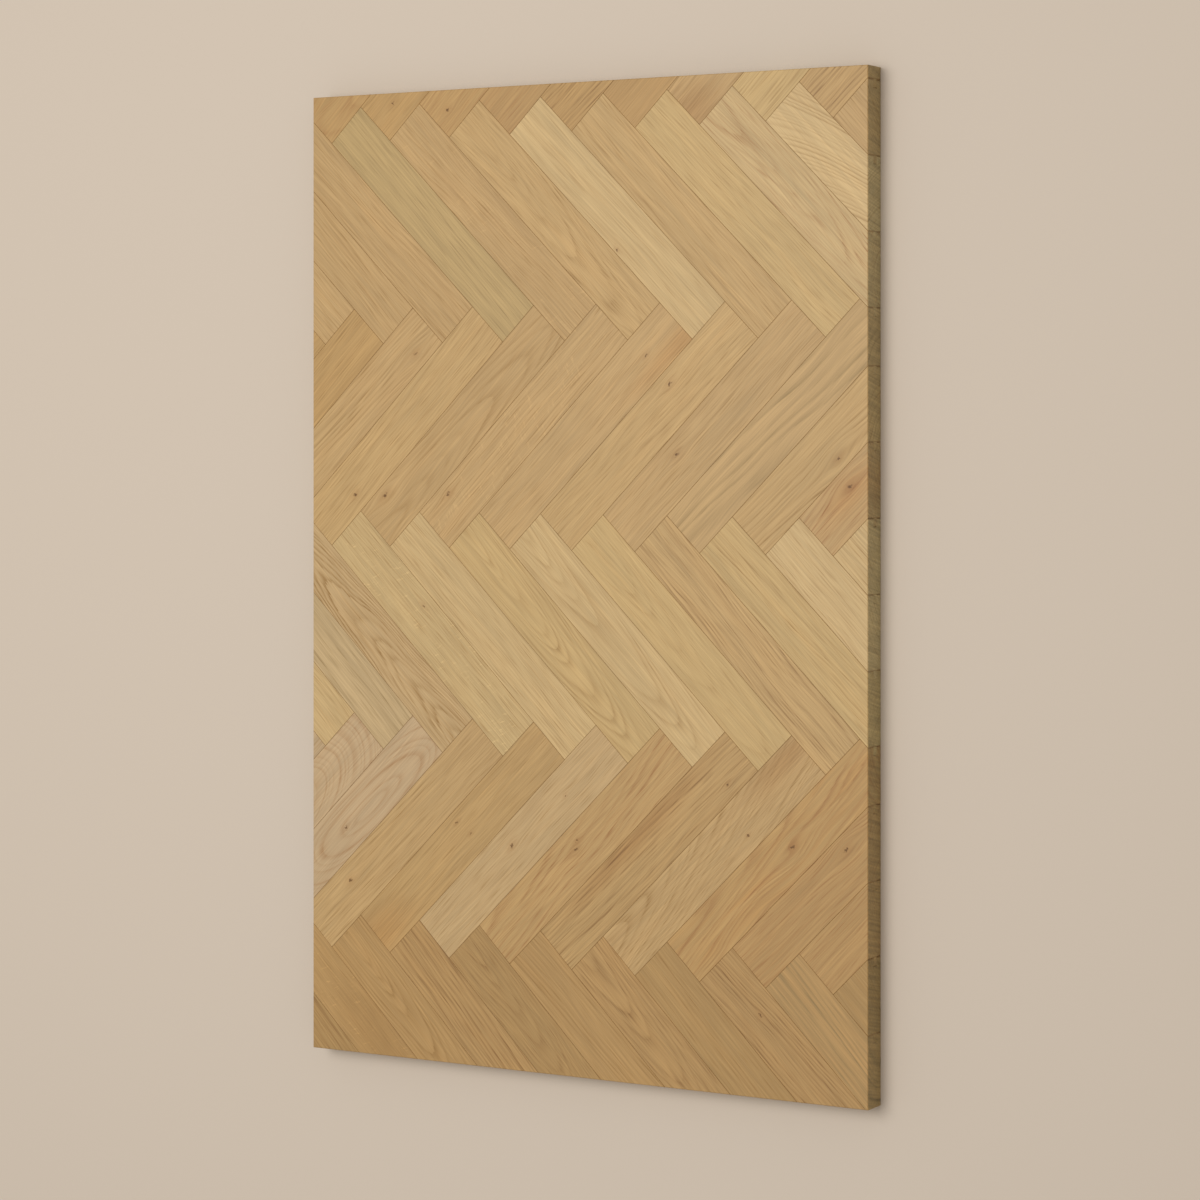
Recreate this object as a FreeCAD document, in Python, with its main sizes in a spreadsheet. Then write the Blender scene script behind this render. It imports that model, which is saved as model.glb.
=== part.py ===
# A panel of solid oak parquet blocks laid in herringbone and cut to a rectangle.
# Millimetres. The panel lies face up on Z = 0, with the origin under its middle, its long side
# along X and its short side along Y. Rows are counted from the +X end, blocks from the +Y side.
import FreeCAD, Part
import math
import os
import Sketcher

SIZES = [
    ("block_length", 260, "laying length of one block, joint included"),
    ("block_width", 45, "laying width of one block, joint included"),
    ("block_thickness", 25, "full thickness of the oak"),
    ("joint_gap", 0.1, "open joint between the faces of two blocks"),
    ("arris_bevel", 0.2, "bevel along the face of every block"),
    ("tongue_length", 5, "how far a tongue stands out"),
    ("tongue_thickness", 6, "thickness of a tongue"),
    ("tongue_height", 8, "underside of a tongue above the floor"),
    ("tongue_fit", 0.1, "clearance above and below a tongue in its groove"),
    ("groove_end_room", 0.15, "clearance past the tip of a tongue"),
    ("nose_bevel", 0.4, "bevel along the tip of a tongue"),
    ("under_setback", 0.1, "wood under a tongue stands back, so that the face closes first"),
    ("panel_length", 872, "long side of the cut panel"),
    ("panel_width", 562, "short side of the cut panel"),
    ("edge_bevel", 0.6, "bevel along the cut edge of the panel"),
    ("pattern_end_offset", 11, "from the +X edge to the top corners of row 2"),
    ("pattern_side_offset", 243.5, "from the +Y edge to one of those corners"),
]
# Both kinds of block point from the +X end down to one side, and share this turn about Z
LAYING_ANGLE = 135
# A piece that keeps less than this share of a whole block is an offcut, in its row's shared node
OFFCUT_SHARE = 0.2
# Nothing smaller than this share is laid: it would be a splinter at the cut edge
SPLINTER_SHARE = 0.002

doc = FreeCAD.newDocument("herringbone_panel")
sheet = doc.addObject("Spreadsheet::Sheet", "Sizes")
for line_number, (alias, value, meaning) in enumerate(SIZES, start=1):
    sheet.set(f"A{line_number}", str(value))
    sheet.setAlias(f"A{line_number}", alias)
    sheet.set(f"B{line_number}", meaning)
doc.recompute()


def size(alias):
    return float(getattr(sheet, alias))


def section_corners(across):
    """Corners of the tongued and grooved section whose laying width is the size named across."""
    groove_side = "Sizes.joint_gap / 2"
    tongue_side = f"(Sizes.{across} - Sizes.joint_gap / 2)"
    tip = f"({tongue_side} + Sizes.tongue_length)"
    groove_end = f"{groove_side} + Sizes.tongue_length + Sizes.groove_end_room"
    tongue_top = "(Sizes.tongue_height + Sizes.tongue_thickness)"
    face = "Sizes.block_thickness"
    return [
        (f"{groove_side} + Sizes.under_setback", "0"),
        (f"{tongue_side} - Sizes.under_setback", "0"),
        (f"{tongue_side} - Sizes.under_setback", "Sizes.tongue_height"),
        (f"{tip} - Sizes.nose_bevel", "Sizes.tongue_height"),
        (tip, "Sizes.tongue_height + Sizes.nose_bevel"),
        (tip, f"{tongue_top} - Sizes.nose_bevel"),
        (f"{tip} - Sizes.nose_bevel", tongue_top),
        (tongue_side, tongue_top),
        (tongue_side, f"{face} - Sizes.arris_bevel"),
        (f"{tongue_side} - Sizes.arris_bevel", face),
        (f"{groove_side} + Sizes.arris_bevel", face),
        (groove_side, f"{face} - Sizes.arris_bevel"),
        (groove_side, f"{tongue_top} + Sizes.tongue_fit"),
        (groove_end, f"{tongue_top} + Sizes.tongue_fit"),
        (groove_end, "Sizes.tongue_height - Sizes.tongue_fit"),
        (f"{groove_side} + Sizes.under_setback", "Sizes.tongue_height - Sizes.tongue_fit"),
    ]


def section_sketch(name, across, turn):
    """A closed sketch of the section, each corner held by its two distances from the origin."""
    sketch = doc.addObject("Sketcher::SketchObject", name)
    sketch.Placement = FreeCAD.Placement(FreeCAD.Vector(), turn)
    corners = section_corners(across)
    places = [[float(sketch.evalExpression(text)) for text in corner] for corner in corners]
    points = [FreeCAD.Vector(x, y, 0) for x, y in places]
    for index, point in enumerate(points):
        following = points[(index + 1) % len(points)]
        sketch.addGeometry(Part.LineSegment(point, following), False)
    for index, corner in enumerate(corners):
        following = (index + 1) % len(corners)
        sketch.addConstraint(Sketcher.Constraint("Coincident", index, 2, following, 1))
        for axis, kind in enumerate(("DistanceX", "DistanceY")):
            distance = Sketcher.Constraint(kind, index, 1, places[index][axis])
            number = sketch.addConstraint(distance)
            sketch.setExpression(f"Constraints[{number}]", corner[axis])
    return sketch


def moulded_bar(name, across, along, turn, direction):
    """A bar of the section, long enough for the tongue that its other direction ends in."""
    bar = doc.addObject("Part::Extrusion", name)
    bar.Base = section_sketch(f"{name}_section", across, turn)
    bar.DirMode = "Custom"
    bar.Dir = direction
    bar.Solid = True
    bar.setExpression("LengthFwd", f"Sizes.{along} + Sizes.tongue_length")
    return bar


def moulded_block(name, size_x, size_y):
    """A block tongued and grooved along X and along Y: the wood that both mouldings leave."""
    facing_y = FreeCAD.Rotation(FreeCAD.Vector(1, 0, 0), 90)
    facing_x = FreeCAD.Rotation(FreeCAD.Vector(1, 1, 1), 120)
    along_y = moulded_bar(f"{name}_along_y", size_x, size_y, facing_y, FreeCAD.Vector(0, 1, 0))
    along_x = moulded_bar(f"{name}_along_x", size_y, size_x, facing_x, FreeCAD.Vector(1, 0, 0))
    block = doc.addObject("Part::Common", name)
    block.Base = along_y
    block.Tool = along_x
    return block


def panel_outline():
    """The rectangle that the laid blocks are cut to, bevelled round its face."""
    box = doc.addObject("Part::Box", "panel_rectangle")
    box.setExpression("Length", "Sizes.panel_length")
    box.setExpression("Width", "Sizes.panel_width")
    box.setExpression("Height", "Sizes.block_thickness")
    box.setExpression("Placement.Base.x", "-Sizes.panel_length / 2")
    box.setExpression("Placement.Base.y", "-Sizes.panel_width / 2")
    doc.recompute()
    face_height = size("block_thickness")
    bevel = size("edge_bevel")
    outline = doc.addObject("Part::Chamfer", "panel_outline")
    outline.Base = box
    outline.Edges = [
        (number, bevel, bevel) for number, edge in enumerate(box.Shape.Edges, start=1)
        if min(vertex.Z for vertex in edge.Vertexes) > face_height / 2
    ]
    return outline


def laying_place(row, column):
    """The X and Y of a block's starting corner, as expressions. Even rows lean to -Y and odd rows
    to +Y: an odd row starts where the ends of the even row before it stop."""
    pair = row // 2 - 1
    place_x = "Sizes.panel_length / 2 - Sizes.pattern_end_offset"
    place_y = "Sizes.panel_width / 2 - Sizes.pattern_side_offset"
    place_x += f" - {pair} * Sizes.block_length * sqrt(2)"
    place_y += f" - {column} * Sizes.block_width * sqrt(2)"
    if row % 2:
        place_x += " - Sizes.block_length / sqrt(2)"
        place_y += " - Sizes.block_length / sqrt(2)"
    return place_x, place_y


def kept_share(row, place_x, place_y):
    """The share of a block's face that lies inside the panel."""
    length, width = size("block_length"), size("block_width")
    face = Part.makePlane(length, width) if row % 2 else Part.makePlane(width, length)
    turn = FreeCAD.Rotation(FreeCAD.Vector(0, 0, 1), LAYING_ANGLE)
    start = FreeCAD.Vector(sheet.evalExpression(place_x), sheet.evalExpression(place_y), 0)
    face.Placement = FreeCAD.Placement(start, turn)
    corner = FreeCAD.Vector(-size("panel_length") / 2, -size("panel_width") / 2, 0)
    panel = Part.makePlane(size("panel_length"), size("panel_width"), corner)
    return face.common(panel).Area / (length * width)


def laid_block(name, row, place_x, place_y):
    """One block laid at its place in the pattern and cut to the panel's outline."""
    laid = doc.addObject("App::Link", f"{name}_laid")
    laid.LinkedObject = right_hand if row % 2 else left_hand
    turn = FreeCAD.Rotation(FreeCAD.Vector(0, 0, 1), LAYING_ANGLE)
    laid.Placement = FreeCAD.Placement(FreeCAD.Vector(), turn)
    laid.setExpression("Placement.Base.x", place_x)
    laid.setExpression("Placement.Base.y", place_y)
    piece = doc.addObject("Part::Common", name)
    piece.Base = laid
    piece.Tool = outline
    return piece


right_hand = moulded_block("right_hand_block", "block_length", "block_width")
left_hand = moulded_block("left_hand_block", "block_width", "block_length")
outline = panel_outline()
doc.recompute()

# Enough rows and columns to cover the panel from any starting corner
row_count = 2 * math.ceil(size("panel_length") / (size("block_length") * math.sqrt(2))) + 4
reach = size("panel_width") + size("block_length")
column_reach = math.ceil(reach / (size("block_width") * math.sqrt(2)))

nodes = []
for row in range(1, row_count):
    offcuts = []
    block_number = 0
    for column in range(-column_reach, column_reach):
        place_x, place_y = laying_place(row, column)
        share = kept_share(row, place_x, place_y)
        if share < SPLINTER_SHARE:
            continue
        if share < OFFCUT_SHARE:
            offcuts.append(laid_block(f"row_{row}_offcut_{len(offcuts) + 1}", row, place_x, place_y))
            continue
        block_number += 1
        block = laid_block(f"row_{row}_block_{block_number:02d}", row, place_x, place_y)
        nodes.append(block)
    if offcuts:
        group = doc.addObject("Part::Compound", f"row_{row}_offcuts")
        group.Links = offcuts
        nodes.append(group)
doc.recompute()

for item in doc.Objects:
    if "Invalid" in item.State or "Error" in item.State:
        raise RuntimeError(f"{item.Name} failed: {item.State}")
for node in nodes:
    node.Label = node.Name
    if node.Shape.isNull() or not node.Shape.isValid() or not node.Shape.Solids:
        raise RuntimeError(f"{node.Name} has no valid solid")

os.makedirs("parts", exist_ok=True)
for node in nodes:
    node.Shape.exportStep(f"parts/{node.Label}.step")
volume = sum(node.Shape.Volume for node in nodes)
print(f"{len(nodes)} nodes, {sum(len(node.Shape.Solids) for node in nodes)} solids, {volume:.0f} mm3")
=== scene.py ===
import math
import bmesh
import bpy
from mathutils import Matrix, Vector


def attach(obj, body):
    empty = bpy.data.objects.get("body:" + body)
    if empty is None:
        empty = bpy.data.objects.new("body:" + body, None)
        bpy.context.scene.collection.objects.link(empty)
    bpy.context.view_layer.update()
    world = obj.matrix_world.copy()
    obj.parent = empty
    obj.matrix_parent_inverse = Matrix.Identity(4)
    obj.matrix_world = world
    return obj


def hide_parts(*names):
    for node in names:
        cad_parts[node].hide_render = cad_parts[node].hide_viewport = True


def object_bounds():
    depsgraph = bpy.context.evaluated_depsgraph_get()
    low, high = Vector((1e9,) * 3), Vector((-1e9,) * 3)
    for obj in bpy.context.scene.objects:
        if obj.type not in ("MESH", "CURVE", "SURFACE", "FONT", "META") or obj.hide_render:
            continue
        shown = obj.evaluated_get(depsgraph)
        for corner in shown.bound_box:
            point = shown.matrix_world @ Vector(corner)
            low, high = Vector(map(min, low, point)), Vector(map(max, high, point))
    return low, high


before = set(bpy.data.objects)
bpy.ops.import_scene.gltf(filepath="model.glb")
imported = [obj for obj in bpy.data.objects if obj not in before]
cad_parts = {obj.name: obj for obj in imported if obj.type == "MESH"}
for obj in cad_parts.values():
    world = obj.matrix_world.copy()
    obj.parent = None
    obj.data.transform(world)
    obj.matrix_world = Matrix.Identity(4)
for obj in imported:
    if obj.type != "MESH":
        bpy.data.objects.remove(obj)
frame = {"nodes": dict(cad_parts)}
cad_box = [list(corner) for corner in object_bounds()]
face_height = cad_box[1][2]


# The camera looks down on the panel, which lies face up with its +X end at the top of the picture.
# It stands beyond the near long edge, so that edge's cut side shows as a strip.
PICTURE_PIXELS = 1200
FOCAL_PIXELS = 3312.2
SENSOR_WIDTH = 36.0
SHIFT_PIXELS = -174.5
CAMERA_LEAN = math.radians(29.99)
# Metres from the panel's middle, and above its face
CAMERA_X, CAMERA_Y = 0.1351, -1.46776
CAMERA_ABOVE_FACE = 2.50314

camera_data = bpy.data.cameras.new("camera")
camera_data.sensor_width = SENSOR_WIDTH
camera_data.lens = FOCAL_PIXELS / PICTURE_PIXELS * SENSOR_WIDTH
camera_data.shift_y = SHIFT_PIXELS / PICTURE_PIXELS
camera = bpy.data.objects.new("camera", camera_data)
bpy.context.scene.collection.objects.link(camera)
right = Vector((0, -math.cos(CAMERA_LEAN), -math.sin(CAMERA_LEAN)))
back = Vector((0, -math.sin(CAMERA_LEAN), math.cos(CAMERA_LEAN)))
axes = Matrix((right, Vector((1, 0, 0)), back)).transposed()
camera_place = Vector((CAMERA_X, CAMERA_Y, face_height + CAMERA_ABOVE_FACE))
camera.matrix_world = Matrix.Translation(camera_place) @ axes.to_4x4()
bpy.context.scene.camera = camera


# The wood: solid European oak, sanded, with a matt oil that leaves it satin. Oak is ring-porous:
# each year opens with a band of coarse pores, which reads as a brown line along the grain.

# How far the grain sways sideways, the rings swell and their edges are ragged, in millimetres, and
# how many years the good and lean ones gain or lose
GRAIN_SWAY = 5.0
RING_SWELL = 1.1
RING_RAGGED = 0.4
YEARS_GAINED = 1.8
# How brown the year is, from its opening to the next
PORE_BAND = ((0.0, 1.0), (0.16, 0.72), (0.42, 0.18), (0.74, 0.0), (0.9, 0.3), (1.0, 1.0))
# The weakest year's share of that, and how much more the strongest has
YEAR_LEAST, YEAR_MORE = 0.215, 0.69
FLECK_SLANT = math.radians(24)
# How strongly the board's broad drifts, its long streaks, its fibres and its flecks change the tone
DRIFTS, STREAKS, FIBRES, FLECKS = 0.30, 0.11, 0.55, 0.24
BLUSH_TINT = "#FAE6CC"
# How deep rings and pores lie and how high fibres stand, as shares of the relief's depth, which
# is in metres
RING_RELIEF, PORE_RELIEF, FIBRE_RELIEF = -0.35, -0.7, 0.5
RELIEF_DEPTH = 0.0001
# How strongly a pin knot parts the grain, and how brown its heart and its halo are
KNOT_PARTING, KNOT_HEART, KNOT_HALO = 0.9, 0.9, 0.28


def linear(colour):
    """An sRGB hex colour as linear red, green and blue, with full alpha."""
    shares = [int(colour[place:place + 2], 16) / 255 for place in (1, 3, 5)]
    return [s / 12.92 if s <= 0.04045 else ((s + 0.055) / 1.055) ** 2.4 for s in shares] + [1.0]


def add(tree, kind, values, output=0, **settings):
    """Adds a shader node with its settings, sets its inputs to numbers or links them to other
    nodes' outputs, and returns one of its own outputs, or none for an end node."""
    node = tree.nodes.new(f"ShaderNode{kind}")
    for setting, value in settings.items():
        setattr(node, setting, value)
    for place, value in values.items():
        if isinstance(value, bpy.types.NodeSocket):
            tree.links.new(value, node.inputs[place])
        else:
            node.inputs[place].default_value = value
    return node.outputs[output] if node.outputs else None


def new_group(name, inputs, outputs):
    """An empty node group with sockets of those names and kinds: the group, its inputs, and its end
    node's inputs."""
    group = bpy.data.node_groups.new(name, "ShaderNodeTree")
    for sockets, direction in ((inputs, "INPUT"), (outputs, "OUTPUT")):
        for socket_name, kind in sockets.items():
            group.interface.new_socket(
                socket_name, in_out=direction, socket_type=f"NodeSocket{kind}")
    given = group.nodes.new("NodeGroupInput").outputs
    made = group.nodes.new("NodeGroupOutput").inputs
    return group, given, made


def stretched_noise(tree, board, seed, length, width, detail=2.0, roughness=0.55):
    """Noise from -0.5 to 0.5 in grains of that length along the board and width across it, in
    millimetres: the board's own coordinates over those sizes, and its seed as the fourth."""
    scale = (1 / length, 1 / width, 1 / width)
    place = add(tree, "VectorMath", {0: board, 1: scale}, operation="MULTIPLY")
    noise = add(tree, "TexNoise", {"Vector": place, "W": seed, "Scale": 1.0, "Detail": detail,
                                   "Roughness": roughness}, noise_dimensions="4D")
    return add(tree, "Math", {0: noise, 1: 0.5}, operation="SUBTRACT")


def oak_wood():
    """Board coordinates in millimetres, x along the grain, y across it and z up from the face, give
    the oak's colour and relief. The grain sways sideways by a slow noise. Years are cones round a
    leaning pith, which a bow bends away from the middle: the distance from the pith's line, with a
    ragged edge, over the ring width, plus a noise of that distance that makes good and lean years.
    Where a year opens, a brown line is darkest, and fades through the year. Fibres, pores, flecks
    and drifts of tone are noise along the swayed grain."""
    oak, given, made = new_group("oak wood", {
        "Board": "Vector", "Tone": "Color", "Ring tone": "Color", "Pith across": "Float",
        "Pith depth": "Float", "Lean across": "Float", "Lean down": "Float", "Bow": "Float",
        "Ring width": "Float", "Ring strength": "Float", "Wander": "Float", "Pores": "Float",
        "Flecks": "Float", "Blush": "Float", "Seed": "Float",
    }, {"Colour": "Color", "Relief": "Float"})
    seed = given["Seed"]

    sway = add(oak, "Math", {0: stretched_noise(oak, given["Board"], seed, 130, 40, 1.0),
                             1: GRAIN_SWAY}, operation="MULTIPLY")
    sway = add(oak, "Math", {0: sway, 1: given["Wander"]}, operation="MULTIPLY")
    sway = add(oak, "CombineXYZ", {1: sway})
    board = add(oak, "VectorMath", {0: given["Board"], 1: sway}, operation="ADD")

    along = add(oak, "SeparateXYZ", {0: board})
    across, up = along.node.outputs["Y"], along.node.outputs["Z"]
    lean = add(oak, "Math", {0: along, 1: given["Lean across"], 2: given["Pith across"]},
               operation="MULTIPLY_ADD")
    side = add(oak, "Math", {0: across, 1: lean}, operation="SUBTRACT")
    bend = add(oak, "Math", {0: along, 1: given["Bow"]}, operation="MULTIPLY")
    slope = add(oak, "Math", {0: given["Lean down"], 1: bend}, operation="SUBTRACT")
    sink = add(oak, "Math", {0: along, 1: slope}, operation="MULTIPLY")
    depth = add(oak, "Math", {0: given["Pith depth"], 1: sink}, operation="SUBTRACT")
    down = add(oak, "Math", {0: up, 1: depth}, operation="ADD")
    down = add(oak, "Math", {0: down, 1: down}, operation="MULTIPLY")
    square = add(oak, "Math", {0: side, 1: side, 2: down}, operation="MULTIPLY_ADD")
    radius = add(oak, "Math", {0: square}, operation="SQRT")
    swell = add(oak, "Math", {0: stretched_noise(oak, board, seed, 90, 20, 1.0), 1: RING_SWELL},
                operation="MULTIPLY")
    ragged = add(oak, "Math", {0: stretched_noise(oak, board, seed, 18, 2.0), 1: RING_RAGGED,
                               2: swell}, operation="MULTIPLY_ADD")
    radius = add(oak, "Math", {0: ragged, 1: given["Wander"], 2: radius}, operation="MULTIPLY_ADD")
    years = add(oak, "Math", {0: radius, 1: given["Ring width"]}, operation="DIVIDE")
    luck = add(oak, "Math", {0: years, 1: 0.4, 2: seed}, operation="MULTIPLY_ADD")
    luck = add(oak, "TexNoise", {"W": luck, "Scale": 1.0, "Detail": 0.0}, noise_dimensions="1D")
    years = add(oak, "Math", {0: luck, 1: YEARS_GAINED, 2: years}, operation="MULTIPLY_ADD")
    year = add(oak, "Math", {0: years}, operation="FLOOR")
    season = add(oak, "Math", {0: years}, operation="FRACT")
    pore_band = add(oak, "FloatCurve", {"Value": season})
    season_curve = pore_band.node.mapping.curves[0].points
    season_curve[0].location, season_curve[1].location = PORE_BAND[0], PORE_BAND[-1]
    for place in PORE_BAND[1:-1]:
        season_curve.new(*place)
    pore_band.node.mapping.update()
    year_name = add(oak, "Math", {0: seed, 1: 7.31, 2: year}, operation="MULTIPLY_ADD")
    year_weight = add(oak, "TexWhiteNoise", {"W": year_name}, noise_dimensions="1D")
    year_weight = add(oak, "Math", {0: year_weight, 1: YEAR_MORE, 2: YEAR_LEAST},
                      operation="MULTIPLY_ADD")
    ring = add(oak, "Math", {0: pore_band, 1: year_weight}, operation="MULTIPLY")
    fading = add(oak, "Math", {0: stretched_noise(oak, board, seed, 75, 12), 1: 2.4, 2: 1.0},
                 operation="MULTIPLY_ADD")
    ring = add(oak, "Math", {0: ring, 1: fading}, operation="MULTIPLY")

    # Pores are 0.3 mm wide and 5 mm long: drawn several times as coarse, so that they show
    pores = stretched_noise(oak, board, seed, 22, 0.9, 0.0)
    pores = add(oak, "MapRange", {0: pores, 1: 0.0, 2: 0.2, 3: 0.0, 4: 1.0})
    in_band = add(oak, "Math", {0: ring, 1: 0.8, 2: 0.5}, operation="MULTIPLY_ADD")
    pores = add(oak, "Math", {0: pores, 1: in_band}, operation="MULTIPLY")
    fibre = stretched_noise(oak, board, seed, 60, 1.3, 1.0, 0.8)

    # Medullary rays, pale flecks some 10 mm across the grain, lie in patches
    slanted = add(oak, "VectorRotate", {"Vector": board, "Angle": FLECK_SLANT},
                  rotation_type="Z_AXIS")
    flecks = stretched_noise(oak, slanted, seed, 2.2, 9, 1.0)
    flecks = add(oak, "MapRange", {0: flecks, 1: 0.08, 2: 0.2, 3: 0.0, 4: 1.0})
    patch = stretched_noise(oak, board, seed, 45, 14, 1.0)
    patch = add(oak, "MapRange", {0: patch, 1: -0.05, 2: 0.1, 3: 0.0, 4: 1.0})
    flecks = add(oak, "Math", {0: flecks, 1: patch}, operation="MULTIPLY")
    flecks = add(oak, "Math", {0: flecks, 1: given["Flecks"]}, operation="MULTIPLY")

    tone = 1.0
    for change, strength in ((stretched_noise(oak, board, seed, 150, 18), DRIFTS),
                             (stretched_noise(oak, board, seed, 220, 6, 1.0), STREAKS),
                             (fibre, FIBRES), (flecks, FLECKS)):
        tone = add(oak, "Math", {0: change, 1: strength, 2: tone}, operation="MULTIPLY_ADD")
    wood = add(oak, "VectorMath", {0: given["Tone"], "Scale": tone}, operation="SCALE")
    blush = add(oak, "MapRange", {0: stretched_noise(oak, board, seed, 90, 9), 1: -0.05, 2: 0.2,
                                  3: 0.0, 4: given["Blush"]})
    wood = add(oak, "Mix", {0: blush, 6: wood, 7: linear(BLUSH_TINT)}, output=2,
               data_type="RGBA", blend_type="MULTIPLY")
    brown = add(oak, "Math", {0: ring, 1: given["Ring strength"]}, operation="MULTIPLY")
    brown = add(oak, "Math", {0: pores, 1: given["Pores"], 2: brown}, operation="MULTIPLY_ADD",
                use_clamp=True)
    wood = add(oak, "Mix", {0: brown, 6: wood, 7: given["Ring tone"]}, output=2,
               data_type="RGBA")
    relief = add(oak, "Math", {0: ring, 1: RING_RELIEF}, operation="MULTIPLY")
    relief = add(oak, "Math", {0: pores, 1: PORE_RELIEF, 2: relief}, operation="MULTIPLY_ADD")
    relief = add(oak, "Math", {0: fibre, 1: FIBRE_RELIEF, 2: relief}, operation="MULTIPLY_ADD")
    oak.links.new(wood, made["Colour"])
    oak.links.new(relief, made["Relief"])
    return oak


def pin_knot():
    """A pin knot and the grain that parts round it. The place across the board is drawn towards the
    knot by a bell, its strength times exp(-d squared), where d is the distance from it over the
    grain's reach, so that lines of grain part there. The heart and the halo are the same bell over
    the knot's radius, narrower and wider, with a ragged edge: a noise as large as the knot is added
    to the place."""
    knot, given, made = new_group("pin knot", {
        "Board": "Vector", "Place": "Vector", "Radius": "Float", "Reach": "Float",
    }, {"Board": "Vector", "Heart": "Float", "Halo": "Float"})
    away = add(knot, "VectorMath", {0: given["Board"], 1: given["Place"]}, operation="SUBTRACT")
    noise = add(knot, "TexNoise", {"Vector": given["Board"], "Scale": 0.45, "Detail": 1.0},
                output="Color")
    noise = add(knot, "VectorMath", {0: noise, 1: (0.5, 0.5, 0.5)}, operation="SUBTRACT")
    noise = add(knot, "VectorMath", {0: noise, 1: (6.0, 4.5, 0.0)}, operation="MULTIPLY")
    ragged = add(knot, "VectorMath", {0: away, 1: noise}, operation="ADD")
    bells = []
    for source, size, times_along, times_across in (
            (away, "Reach", 6.0, 2.6), (ragged, "Radius", 1.1, 0.75), (ragged, "Radius", 4.0, 2.2)):
        scale = (1 / times_along, 1 / times_across, 0)
        place = add(knot, "VectorMath", {0: source, 1: scale}, operation="MULTIPLY")
        distance = add(knot, "VectorMath", {0: place}, output=1, operation="LENGTH")
        distance = add(knot, "Math", {0: distance, 1: given[size]}, operation="DIVIDE")
        square = add(knot, "Math", {0: distance, 1: 2.0}, operation="POWER")
        minus = add(knot, "Math", {0: square, 1: -1.0}, operation="MULTIPLY")
        bells.append(add(knot, "Math", {0: minus}, operation="EXPONENT"))
    parting, heart, halo = bells
    share = add(knot, "Math", {0: parting, 1: KNOT_PARTING}, operation="MULTIPLY")
    drawn = add(knot, "VectorMath", {0: away, 1: (0, 1, 0)}, operation="MULTIPLY")
    drawn = add(knot, "VectorMath", {0: drawn, "Scale": share}, operation="SCALE")
    parted = add(knot, "VectorMath", {0: given["Board"], 1: drawn}, operation="SUBTRACT")
    heart = add(knot, "MapRange", {0: heart, 1: 0.2, 2: 0.8, 3: 0.0, 4: KNOT_HEART})
    halo = add(knot, "Math", {0: halo, 1: KNOT_HALO}, operation="MULTIPLY")
    knot.links.new(parted, made["Board"])
    knot.links.new(heart, made["Heart"])
    knot.links.new(halo, made["Halo"])
    return knot


OAK_WOOD = oak_wood()
PIN_KNOT = pin_knot()


# The blocks: each is one board of that oak, tongued and grooved, glued edge to edge. A fitter mixes
# boards of many tones and cuts, so each block has its own wood, cut from its own log.
BLOCK_LENGTH = 260.0
BLOCK_WIDTH = 45.0
# The boards' own coordinates are in millimetres, and the frame is in metres
METRE = 1000.0
# The start of row 2's block 6, from the middle of the panel
FIRST_CORNER = Vector((425.0, 37.5, 0.0))
GRAIN_TURN = math.radians(135)
# Painted shade in the joints: the arris bevel darkens from this far in from the laying size to
# where it is darkest, and only this far down from the face. Across a cut side the joint is a
# painted dark line this wide in each block
ARRIS_REACH, ARRIS_DARKEST = 0.5, 0.1
JOINT_DEPTH = 0.7
JOINT_LINE = 0.55
ARRIS_PAINTED_SHADE, LINE_PAINTED_SHADE = 0.35, 0.5
# The saw's marks on the cut sides, in metres: how far apart, how long, and the blade's lean
SAW_MARK_SPACING, SAW_MARK_LENGTH = 0.0017, 0.06
SAW_MARK_LEAN = math.radians(13)
SAW_MARK_CONTRAST = 0.9

TONES = {
    "pale": "#CAAC79", "straw": "#C6A875", "honey": "#C3A46E", "gold": "#C09E69",
    "fawn": "#BD9B68", "tan": "#BB9966", "sage": "#BE9F70", "moss": "#B69965", "rose": "#BEA27B",
    "brown": "#B99661", "amber": "#B8935C", "rust": "#B38E59", "umber": "#AC8955",
    "ash": "#BFA376", "wheat": "#C3A673",
}
RING_TONES = {"brown": "#97723D", "grey": "#94784A", "red": "#9A6C3C", "dark": "#866030"}
JOINT_SHADE_TONE = "#8A5C2A"
HEART_TONE = "#65400F"
HALO_TONE = "#9A6A36"
# The cut sides' tint: the greyer raw sawn wood, and painted cool shade
SAWN_AND_SHADE_TINT = "#E2F0F6"
# Pith across and below the face, its lean across and down per millimetre, the bow of the rings and
# their width
CUTS = {
    "quartered": (160, 20, 0.03, 0.0, 0.0, 3.2),
    "rift": (85, 70, -0.05, 0.02, 0.0, 3.2),
    "rift left": (-85, 70, 0.05, 0.02, 0.0, 3.2),
    "striped": (34, 26, -0.04, 0.03, 0.0, 4.6),
    "crown up": (6, 24, 0.02, 0.07, 0.0, 2.7),
    "crown down": (-5, 24, -0.02, -0.07, 0.0, 2.7),
    "sharp crown down": (-3, 16, -0.03, -0.10, 0.0, 2.8),
    "oval low": (-4, 12, 0.06, 0.14, 0.0018, 3.4),
    "oval high": (3, 12, -0.05, -0.14, 0.0018, 3.4),
    "curl up": (-30, 30, 0.13, 0.12, 0.0, 3.0),
    "curl down": (34, 30, -0.22, -0.12, 0.0, 3.2),
    "broad": (30, 22, -0.05, 0.05, 0.0, 8.5),
    "flame": (-26, 26, 0.04, 0.07, 0.0, 4.0),
    "fan": (-60, 34, 0.05, 0.34, 0.0, 2.6),
    "dense crown": (-4, 24, 0.02, 0.06, 0.0, 1.8),
}


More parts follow.
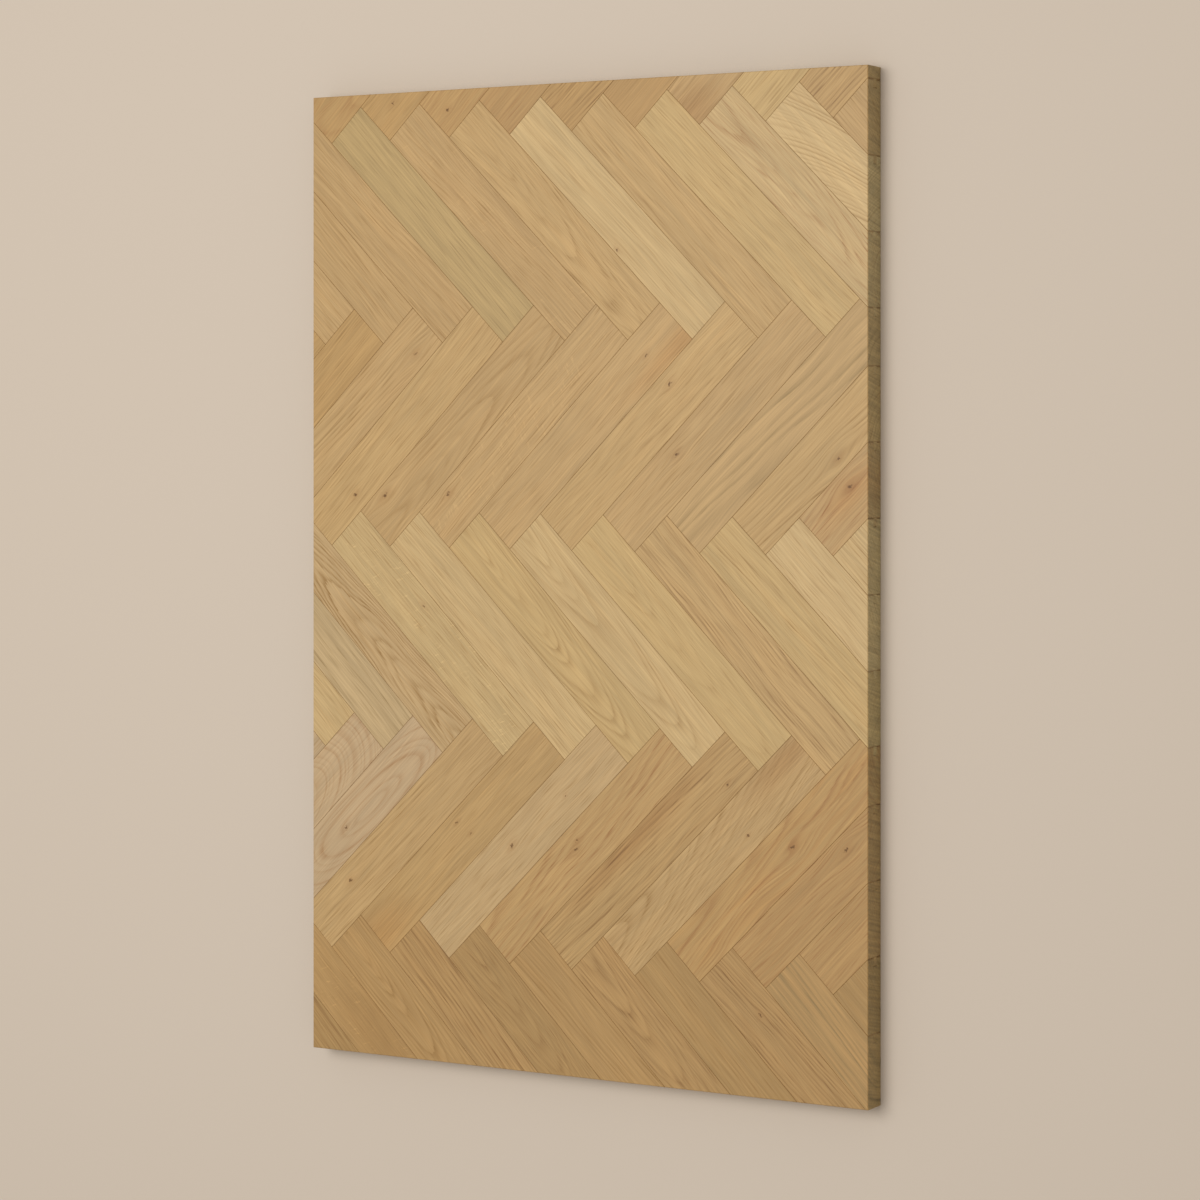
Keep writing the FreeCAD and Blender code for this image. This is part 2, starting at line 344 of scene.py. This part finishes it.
def board_material(name, row, column, tone, cut, rings=0.3, ring_tone="brown", wander=1.6,
                   pores=0.46, flecks=0.0, blush=0.15, knots=(), stain=None):
    """One board's oak. Half a block each way from its starting corner is its middle, where its
    coordinates start: along grows down the picture and across to the right. Knots are (along,
    across, radius) and, where grain parts round them more widely, its reach. A stain is (tint,
    along, across, reach along, reach across)."""
    steps = Vector(((row // 2 - 1) * BLOCK_LENGTH, column * BLOCK_WIDTH, 0))
    corner = FIRST_CORNER - steps * math.sqrt(2)
    grain_turn, half_across = GRAIN_TURN, -BLOCK_WIDTH / 2
    if row % 2:
        corner -= Vector((BLOCK_LENGTH, BLOCK_LENGTH, 0)) / math.sqrt(2)
        grain_turn, half_across = -grain_turn, -half_across
    half_block = Vector((BLOCK_LENGTH / 2, half_across, 0))
    middle = corner + Matrix.Rotation(-grain_turn, 3, "Z") @ half_block
    middle.z = face_height * METRE
    start = Matrix.Rotation(grain_turn, 3, "Z") @ -middle

    material = bpy.data.materials.new(f"oiled_oak_{name}")
    material.use_nodes = True
    tree = material.node_tree
    tree.nodes.clear()
    place = add(tree, "TexCoord", {}, output="Object")
    board = add(tree, "Mapping", {"Vector": place, "Location": start,
                                  "Rotation": (0, 0, grain_turn),
                                  "Scale": (METRE, METRE, METRE)})
    grain, marks = board, []
    for along, across, radius, *reach in knots:
        grain = add(tree, "Group", {
            "Board": grain, "Place": (along, across, 0), "Radius": radius,
            "Reach": reach[0] if reach else radius,
        }, output="Board", node_tree=PIN_KNOT)
        marks.append((grain.node.outputs["Halo"], HALO_TONE))
        marks.append((grain.node.outputs["Heart"], HEART_TONE))
    pith_across, pith_depth, lean_across, lean_down, bow, ring_width = CUTS[cut]
    wood = add(tree, "Group", {
        "Board": grain, "Tone": linear(TONES[tone]), "Ring tone": linear(RING_TONES[ring_tone]),
        "Pith across": pith_across, "Pith depth": pith_depth, "Lean across": lean_across,
        "Lean down": lean_down, "Bow": bow, "Ring width": ring_width, "Ring strength": rings,
        "Wander": wander, "Pores": pores, "Flecks": flecks, "Blush": blush,
        "Seed": row * 17.3 + column * 3.7,
    }, output="Colour", node_tree=OAK_WOOD)
    relief = wood.node.outputs["Relief"]
    if stain:
        tint, along, across, reach_along, reach_across = stain
        away = add(tree, "VectorMath", {0: board, 1: (along, across, 0)}, operation="SUBTRACT")
        away = add(tree, "VectorMath", {0: away, 1: (1 / reach_along, 1 / reach_across, 0)},
                   operation="MULTIPLY")
        away = add(tree, "VectorMath", {0: away}, output="Value", operation="LENGTH")
        share = add(tree, "MapRange", {0: away, 1: 0.1, 2: 1.2, 3: 1.0, 4: 0.0},
                    interpolation_type="SMOOTHSTEP")
        wood = add(tree, "Mix", {0: share, 6: wood, 7: linear(tint)}, output=2,
                   data_type="RGBA", blend_type="MULTIPLY")
    for share, mark_tone in marks:
        wood = add(tree, "Mix", {0: share, 6: wood, 7: linear(mark_tone)}, output=2,
                   data_type="RGBA")

    # How far past the block's own laying size a place is: above -ARRIS_REACH and near the face, it
    # is the arris
    past = add(tree, "VectorMath", {0: board}, operation="ABSOLUTE")
    past = add(tree, "VectorMath", {0: past, 1: (BLOCK_LENGTH / 2, BLOCK_WIDTH / 2, JOINT_DEPTH)},
               operation="SUBTRACT")
    past = add(tree, "SeparateXYZ", {0: past})
    near_face = add(tree, "Math", {0: past.node.outputs["Z"], 1: 0.0}, operation="LESS_THAN")
    past = add(tree, "Math", {0: past, 1: past.node.outputs["Y"]}, operation="MAXIMUM")
    arris = add(tree, "MapRange", {0: past, 1: -ARRIS_REACH, 2: -ARRIS_DARKEST, 3: 0.0,
                                   4: ARRIS_PAINTED_SHADE}, interpolation_type="SMOOTHSTEP")
    arris = add(tree, "Math", {0: arris, 1: near_face}, operation="MULTIPLY")
    line = add(tree, "Math", {0: past, 1: -JOINT_LINE / 2, 2: JOINT_LINE / 2}, operation="COMPARE")
    # Cut sides are a little greyer and cooler than the sanded face and the planed underside, partly
    # as raw sawn wood and partly as painted cool shade, and faint saw marks cross them, leaning
    # with the blade
    normal = add(tree, "NewGeometry", {}, output="Normal")
    level = add(tree, "SeparateXYZ", {0: normal}, output="Z")
    level = add(tree, "Math", {0: level}, operation="ABSOLUTE")
    sawn = add(tree, "MapRange", {0: level, 1: 0.5, 2: 0.2, 3: 0.0, 4: 1.0})
    line = add(tree, "Math", {0: line, 1: sawn}, operation="MULTIPLY")
    # Painted shade in the joints: the arris near the face and the line across cut sides are mixed
    # towards the joint's dark brown
    joint = add(tree, "Math", {0: line, 1: LINE_PAINTED_SHADE, 2: arris}, operation="MULTIPLY_ADD")
    wood = add(tree, "Mix", {0: joint, 6: wood, 7: linear(JOINT_SHADE_TONE)}, output=2,
               data_type="RGBA")
    marks_place = add(tree, "Mapping", {
        "Vector": place, "Rotation": (0, SAW_MARK_LEAN, 0),
        "Scale": (SAW_MARK_SPACING, SAW_MARK_LENGTH, SAW_MARK_LENGTH),
    }, vector_type="TEXTURE")
    saw_marks = add(tree, "TexNoise", {"Vector": marks_place, "Scale": 1.0, "Detail": 1.0})
    saw_marks = add(tree, "Math", {0: saw_marks, 1: SAW_MARK_CONTRAST,
                                   2: 1 - SAW_MARK_CONTRAST / 2}, operation="MULTIPLY_ADD")
    sawn_and_shade_tint = add(tree, "VectorMath", {0: linear(SAWN_AND_SHADE_TINT)[:3], "Scale": saw_marks},
                    operation="SCALE")
    wood = add(tree, "Mix", {0: sawn, 6: wood, 7: sawn_and_shade_tint}, output=2, data_type="RGBA",
               blend_type="MULTIPLY")
    bump = add(tree, "Bump", {"Strength": 0.5, "Distance": RELIEF_DEPTH, "Height": relief})
    shader = add(tree, "BsdfPrincipled", {"Base Color": wood, "Roughness": 0.52, "IOR": 1.45,
                                          "Normal": bump})
    add(tree, "OutputMaterial", {"Surface": shader})
    return material


# Corners of a node's triangles this close, in metres, are one
SAME_POINT = 1e-6


def offcut_pieces(row):
    """The small offcuts of a row share a CAD node, as solids that don't touch. Each becomes a piece
    of its own, numbered from the left of the picture, so that it can have its own wood."""
    node = f"row_{row}_offcuts"
    mesh = frame["nodes"][node].data.copy()
    solids = bmesh.new()
    solids.from_mesh(mesh)
    bmesh.ops.remove_doubles(solids, verts=solids.verts, dist=SAME_POINT)
    solids.to_mesh(mesh)
    solids.free()
    whole = bpy.data.objects.new(node, mesh)
    bpy.context.scene.collection.objects.link(whole)
    bpy.ops.object.select_all(action="DESELECT")
    whole.select_set(True)
    bpy.context.view_layer.objects.active = whole
    bpy.ops.mesh.separate(type="LOOSE")
    pieces = sorted(bpy.context.selected_objects, key=lambda piece: -piece.bound_box[0][1])
    for number, piece in enumerate(pieces, start=1):
        piece.name = piece.data.name = f"row_{row}_offcut_{number}"
        piece.data.shade_flat()
        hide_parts(node)
        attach(piece, "root")
    return {piece.name: piece for piece in pieces}


def lay_row(row, first_column, boards):
    """Gives each piece of a row its wood, in the order that they lie from the left."""
    pieces = {**frame["nodes"], **offcut_pieces(row)}
    for column, (piece_name, wood) in enumerate(boards, start=first_column):
        name = f"row_{row}_{piece_name}"
        piece = pieces[name]
        piece.data.materials.clear()
        piece.data.materials.append(board_material(name, row, column, **wood))


# Row 1 rises to the right, and the panel's cut leaves only the lower ends of its blocks. They are
# orange-brown boards, three of them with a pin knot.
lay_row(1, -4, [
    ("offcut_1", dict(tone="amber", cut="curl down", rings=0.45, ring_tone="red",
                      knots=[(96, -9, 1.6, 3.0)])),
    ("offcut_2", dict(tone="amber", cut="rift", rings=0.3, knots=[(104, 1, 1.6)])),
    ("offcut_3", dict(tone="amber", cut="rift left", rings=0.45, ring_tone="red",
                      knots=[(113, 4, 1.6)])),
    ("offcut_4", dict(tone="rust", cut="rift", rings=0.2, ring_tone="red")),
    ("offcut_5", dict(tone="amber", cut="rift", rings=0.55, ring_tone="dark")),
    ("offcut_6", dict(tone="rust", cut="quartered", rings=0.1)),
    ("offcut_7", dict(tone="fawn", cut="rift left", rings=0.4,
                      stain=("#F0E6DA", 128, 10, 45, 30))),
    ("offcut_8", dict(tone="honey", cut="quartered", rings=0.15)),
    ("offcut_9", dict(tone="brown", cut="rift", rings=0.5, ring_tone="dark")),
])

# Row 2 falls to the right: tan and greenish boards at the left, a pale plain one in the middle, and
# pale ones with arched grain at the right.
lay_row(2, -6, [
    ("offcut_1", dict(tone="fawn", cut="rift", rings=0.25)),
    ("block_01", dict(tone="tan", cut="rift", rings=0.4)),
    ("block_02", dict(tone="tan", cut="rift left", rings=0.3)),
    ("block_03", dict(tone="moss", cut="rift", rings=0.35, ring_tone="grey", wander=1.0,
                      blush=0)),
    ("block_04", dict(tone="tan", cut="quartered", rings=0.35, wander=3.2, flecks=0.4)),
    ("block_05", dict(tone="gold", cut="crown down", rings=0.35, wander=2.4)),
    ("block_06", dict(tone="straw", cut="quartered", rings=0.1, pores=0.3,
                      knots=[(22, -19, 1.1)])),
    ("block_07", dict(tone="gold", cut="rift", rings=0.3)),
    ("block_08", dict(tone="honey", cut="rift left", rings=0.2)),
    ("block_09", dict(tone="straw", cut="crown down", rings=0.35, ring_tone="red", wander=2.2)),
    ("block_10", dict(tone="pale", cut="fan", rings=0.52, wander=0.6, pores=0.08)),
    ("offcut_2", dict(tone="tan", cut="rift", rings=0.5)),
])

# Row 3 rises to the right: plain and flecked boards, most with a pin knot, a wide-ringed greenish
# one, and reddish swirled ones at the right.
lay_row(3, -7, [
    ("offcut_1", dict(tone="amber", cut="rift", rings=0.3)),
    ("block_01", dict(tone="amber", cut="quartered", rings=0.25)),
    ("block_02", dict(tone="fawn", cut="rift", rings=0.4, knots=[(-103, 9, 1.5, 3.6)])),
    ("block_03", dict(tone="gold", cut="rift left", rings=0.35, knots=[(79, 8, 1.8)])),
    ("block_04", dict(tone="tan", cut="crown up", rings=0.55, wander=2.6, pores=0.25,
                      knots=[(101, -14, 2.2, 3.6)])),
    ("block_05", dict(tone="fawn", cut="quartered", rings=0.18, flecks=0.6,
                      knots=[(97, -12, 1.8)])),
    ("block_06", dict(tone="fawn", cut="quartered", rings=0.12, knots=[(-88, 0, 1.3)],
                      stain=("#FBF0E2", -118, 16, 80, 16))),
    ("block_07", dict(tone="gold", cut="rift", rings=0.25, knots=[(-42, -11, 1.8)])),
    ("block_08", dict(tone="fawn", cut="quartered", rings=0.15, knots=[(41, -8, 2.2)])),
    ("block_09", dict(tone="fawn", cut="broad", rings=0.6, ring_tone="grey", wander=3.4,
                      pores=0.2, blush=0)),
    ("block_10", dict(tone="gold", cut="rift", rings=0.7, wander=2.8, pores=0.25,
                      knots=[(24, 13, 1.6, 5.0)])),
    ("block_11", dict(tone="tan", cut="rift left", rings=0.5, ring_tone="red", wander=3.4,
                      knots=[(78, -8, 2.2, 4.5)], stain=("#FAF0E4", 84, -4, 45, 20))),
])

# Row 4 falls to the right: boards with strong arched and wavy grain between pale plain ones.
lay_row(4, -6, [
    ("offcut_1", dict(tone="straw", cut="rift", rings=0.25)),
    ("block_01", dict(tone="ash", cut="striped", rings=0.45, ring_tone="grey", wander=1.0,
                      blush=0)),
    ("block_02", dict(tone="sage", cut="dense crown", rings=0.85, wander=3.0)),
    ("block_03", dict(tone="wheat", cut="quartered", rings=0.2, flecks=1.0,
                      knots=[(-22, 11, 1.5)])),
    ("block_04", dict(tone="straw", cut="quartered", rings=0.15)),
    ("block_05", dict(tone="honey", cut="sharp crown down", rings=0.5, wander=1.1, pores=0.2)),
    ("block_06", dict(tone="straw", cut="crown down", rings=0.4, wander=1.1, pores=0.2)),
    ("block_07", dict(tone="honey", cut="crown down", rings=0.18, wander=1.4, pores=0.3)),
    ("block_08", dict(tone="gold", cut="rift", rings=0.55, ring_tone="dark", wander=3.0)),
    ("block_09", dict(tone="honey", cut="rift left", rings=0.35)),
    ("block_10", dict(tone="pale", cut="rift", rings=0.35)),
    ("offcut_2", dict(tone="straw", cut="rift", rings=0.3)),
])

# Row 5 rises to the right: two rosy boards with oval arches at the left, then browner ones to
# orange-red, swirled boards at the right.
lay_row(5, -7, [
    ("offcut_1", dict(tone="rose", cut="rift", rings=0.3)),
    ("block_01", dict(tone="rose", cut="oval low", rings=0.44, ring_tone="red", wander=1.2,
                      pores=0.2)),
    ("block_02", dict(tone="rose", cut="oval high", rings=0.42, ring_tone="red", wander=1.2,
                      pores=0.2, knots=[(-4, 1, 1.6)])),
    ("block_03", dict(tone="fawn", cut="rift", rings=0.2, knots=[(71, -7, 1.8)])),
    ("block_04", dict(tone="brown", cut="quartered", rings=0.18,
                      knots=[(-7, -13, 1.3), (-11, 4, 1.1)],
                      stain=("#FBF0E2", 125, 4, 50, 26))),
    ("block_05", dict(tone="sage", cut="quartered", rings=0.12,
                      knots=[(9, -5, 1.8), (-63, 0, 1.0)])),
    ("block_06", dict(tone="brown", cut="flame", rings=0.4, ring_tone="red", wander=4.0,
                      knots=[(1, -9, 1.4), (7, -4, 1.9)])),
    ("block_07", dict(tone="brown", cut="rift", rings=0.4, ring_tone="dark",
                      knots=[(-100, 11, 1.2)], stain=("#EEE4D8", 0, -16, 130, 12))),
    ("block_08", dict(tone="fawn", cut="curl up", rings=0.4, knots=[(-39, 10, 0.9)],
                      stain=("#EEE4D8", -110, -12, 60, 14))),
    ("block_09", dict(tone="amber", cut="flame", rings=0.65, ring_tone="red", wander=4.6,
                      pores=0.2, blush=0.5, knots=[(-19, 0, 1.8, 4.5)])),
    ("block_10", dict(tone="rust", cut="rift", rings=0.35, ring_tone="red",
                      knots=[(-10, -10, 2.0, 4.0)])),
    ("block_11", dict(tone="rust", cut="rift left", rings=0.35, ring_tone="red")),
])

# Row 6 falls to the right, and the panel's cut leaves the upper halves of its blocks. They are the
# darkest boards, partly by their own wood and partly by painted shade, as less light reaches the
# bottom of the picture; two of them have sharp arches.
lay_row(6, -5, [
    ("offcut_1", dict(tone="umber", cut="rift", rings=0.6, ring_tone="dark")),
    ("block_01", dict(tone="rust", cut="quartered", rings=0.12, flecks=0.9,
                      stain=("#F2EEE6", 5, 6, 90, 34))),
    ("block_02", dict(tone="rust", cut="sharp crown down", rings=0.7, wander=2.4, pores=0.3)),
    ("block_03", dict(tone="rust", cut="rift", rings=0.6, ring_tone="dark")),
    ("block_04", dict(tone="umber", cut="sharp crown down", rings=0.55, ring_tone="dark",
                      wander=3.2)),
    ("block_05", dict(tone="rust", cut="rift left", rings=0.55)),
    ("block_06", dict(tone="rust", cut="crown down", rings=0.5, ring_tone="dark")),
    ("block_07", dict(tone="umber", cut="rift", rings=0.5)),
    ("block_08", dict(tone="rust", cut="rift left", rings=0.6, ring_tone="dark",
                      knots=[(-72, 2, 1.5)])),
    ("block_09", dict(tone="rust", cut="striped", rings=0.65, ring_tone="grey", wander=1.0)),
    ("offcut_2", dict(tone="umber", cut="rift", rings=0.5)),
])


# The floor: a seamless sheet of pale beige backdrop paper, matt and plain, that the panel lies on.
# It is a tenth of a millimetre up, so that it shares no plane with the panel's underside.
FLOOR_HALF = 14.0
FLOOR_RISE = 0.0001
floor_mesh = bpy.data.meshes.new("floor")
corner_sides = ((-1, -1), (1, -1), (1, 1), (-1, 1))
floor_corners = [(x * FLOOR_HALF, y * FLOOR_HALF, FLOOR_RISE) for x, y in corner_sides]
floor_mesh.from_pydata(floor_corners, [], [(0, 1, 2, 3)])
floor = bpy.data.objects.new("floor", floor_mesh)
bpy.context.scene.collection.objects.link(floor)
paper = bpy.data.materials.new("beige_backdrop_paper")
paper.use_nodes = True
tree = paper.node_tree
tree.nodes.clear()
shader = add(tree, "BsdfPrincipled", {"Base Color": linear("#D1C3B3"), "Roughness": 0.9,
                                      "IOR": 1.3})
add(tree, "OutputMaterial", {"Surface": shader})
floor_mesh.materials.append(paper)


# The light: one large soft lamp above the picture's upper left, and even light from all round.
LAMP_PLACE = (0.6, 0.45, 3.2)
LAMP_SIZE = 2.0
LAMP_WATTS = 66.0
EVEN_LIGHT = 0.45
lamp_data = bpy.data.lights.new("soft_lamp", "AREA")
lamp_data.energy = LAMP_WATTS
lamp_data.size = LAMP_SIZE
lamp = bpy.data.objects.new("soft_lamp", lamp_data)
bpy.context.scene.collection.objects.link(lamp)
lamp.location = LAMP_PLACE
lamp.rotation_euler = (-lamp.location).to_track_quat("-Z", "Y").to_euler()
world = bpy.data.worlds.new("even_light")
world.use_nodes = True
bpy.context.scene.world = world
background = world.node_tree.nodes["Background"]
background.inputs["Color"].default_value = linear("#FFFBF5")
background.inputs["Strength"].default_value = EVEN_LIGHT
bpy.context.scene.view_settings.view_transform = "Standard"
